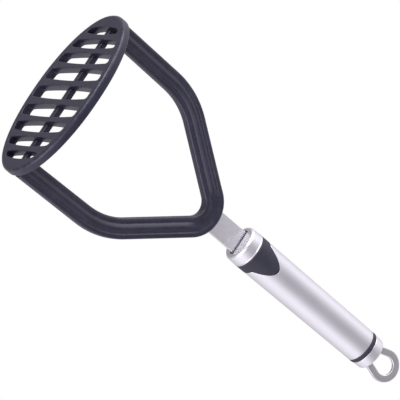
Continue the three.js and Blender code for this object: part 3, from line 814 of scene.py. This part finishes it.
# %% [markdown]
# ## The room
# A cylinder of satin steel shows the room round it as long bands, so the room makes the look of the
# handle. Panels and cards could stand round the masher, but soft lobes in the sky leave no hard edges in
# the steel: each one brightens or darkens the directions near its own. Dark ones in front, below and
# behind give the handle its grey bands, the side walls its bright ones, and two narrow low ones put a
# sheen on the nylon. The camera itself sees plain white.


# %% Room
class Studio(Finish):
    """The room under construction: a ray's brightness depends on the direction in which it leaves."""

    def __init__(self, name):
        self.world = bpy.data.worlds.new(name)
        self.world.use_nodes = True
        self.tree = self.world.node_tree
        self.tree.nodes.clear()
        self.way = self.add("TexCoord", output="Generated")

    def toward(self, direction, low, high):
        """Rises smoothly from 0 to 1 while the cosine between ray and direction goes from low to high."""
        aim = Vector(direction).normalized()
        dot = {"operation": "DOT_PRODUCT"}
        cosine = self.add("VectorMath", dot, {0: self.way, 1: aim}, output="Value")
        inputs = {"Value": cosine, "From Min": low, "From Max": high}
        return self.add("MapRange", {"interpolation_type": "SMOOTHSTEP"}, inputs)


room = Studio("studio")
front = room.toward((0.03, -0.9, 0.42), 0.3, 1.0)
below = room.toward((0, 0, -1), 0.0, 0.75)
behind = room.toward((0.1, 1, 0.3), 0.2, 0.9)
right_wall = room.toward((0.95, 0.15, 0.35), 0.5, 1.0)
left_wall = room.toward((-0.9, -0.4, 0.35), 0.6, 1.0)
low_left = room.toward((-0.90, -0.30, -0.32), 0.76, 1.0)
low_right = room.toward((0.75, -0.55, -0.4), 0.72, 1.0)
walls = right_wall * 0.25 + left_wall * 0.2 + low_left * 1.7 + low_right * 2.0
strength = 0.9 - front * 0.46 - below * 0.5 - behind * 0.25 + walls
glow = room.add("Background", inputs={"Color": (0.97, 0.95, 1.0, 1), "Strength": strength})
backdrop = room.add("Background", inputs={"Color": (1, 1, 1, 1)})
seen = room.add("LightPath", output="Is Camera Ray")
choice = room.add("MixShader", inputs={0: seen, 1: glow, 2: backdrop})
room.add("OutputWorld", inputs={"Surface": choice}, output=None)
bpy.context.scene.world = room.world
bpy.context.scene.view_settings.view_transform = "Standard"
print("the room has", len(room.tree.nodes), "nodes")

# %% [markdown]
# ## Softboxes
# Nylon this dark needs light of its own. Three softboxes shine up at it from below the floor's level,
# left, right and nearly straight up. They are large and far away, so they leave no hard spots, and the
# floor casts no shadow, so their light comes through it.

# %% Lights
MIDDLE = (measured[0] + measured[1]) / 2


def softbox(name, direction, distance, width, height, watts):
    """A rectangle of light at middle + direction * distance, turned to face the masher."""
    lamp = bpy.data.lights.new(name, "AREA")
    lamp.shape, lamp.size, lamp.size_y, lamp.energy = "RECTANGLE", width, height, watts
    holder = bpy.data.objects.new(name, lamp)
    way = Vector(direction).normalized()
    holder.location = MIDDLE + way * distance
    holder.rotation_euler = (-way).to_track_quat("-Z", "Y").to_euler()
    bpy.context.scene.collection.objects.link(holder)
    print(name, "shines", watts, "watts")


softbox("left_box", (-0.94, -0.34, -0.40), 2.0, 1.2, 0.8, 9)
softbox("right_box", (0.9, -0.35, -0.40), 2.0, 1.0, 0.8, 5)
softbox("low_box", (-0.35, -0.30, -0.89), 2.2, 1.0, 1.0, 24)

# %% [markdown]
# ## Camera
# A long lens far away keeps the two arms nearly parallel. The camera is placed by its azimuth and
# elevation round a point near the frame's apex, and then rolled, so that the handle points down and to
# the right.

# %% Camera
AZIMUTH, ELEVATION, ROLL = np.radians([16.53, -24.65, -130.33])
AIM, DISTANCE = Vector((-7.2, 9.7, 116.2)) * MM, 3.392
LENS, SENSOR = 521.4, 36
NEAREST, FARTHEST = 0.1, 60

reach = np.cos(ELEVATION)
away = Vector((np.sin(AZIMUTH) * reach, -np.cos(AZIMUTH) * reach, np.sin(ELEVATION)))
level = Vector((0, 0, 1)).cross(away).normalized()
upright = away.cross(level)
right = level * np.cos(ROLL) - upright * np.sin(ROLL)
up = upright * np.cos(ROLL) + level * np.sin(ROLL)
lens = bpy.data.cameras.new("camera")
lens.lens, lens.sensor_width = LENS, SENSOR
lens.clip_start, lens.clip_end = NEAREST, FARTHEST
camera = bpy.data.objects.new("camera", lens)
turned_axes = Matrix((right, up, away)).transposed().to_4x4()
camera.matrix_world = Matrix.Translation(AIM + away * DISTANCE) @ turned_axes
bpy.context.scene.collection.objects.link(camera)
bpy.context.scene.camera = camera
print("the camera is", round(DISTANCE, 2), "m away")
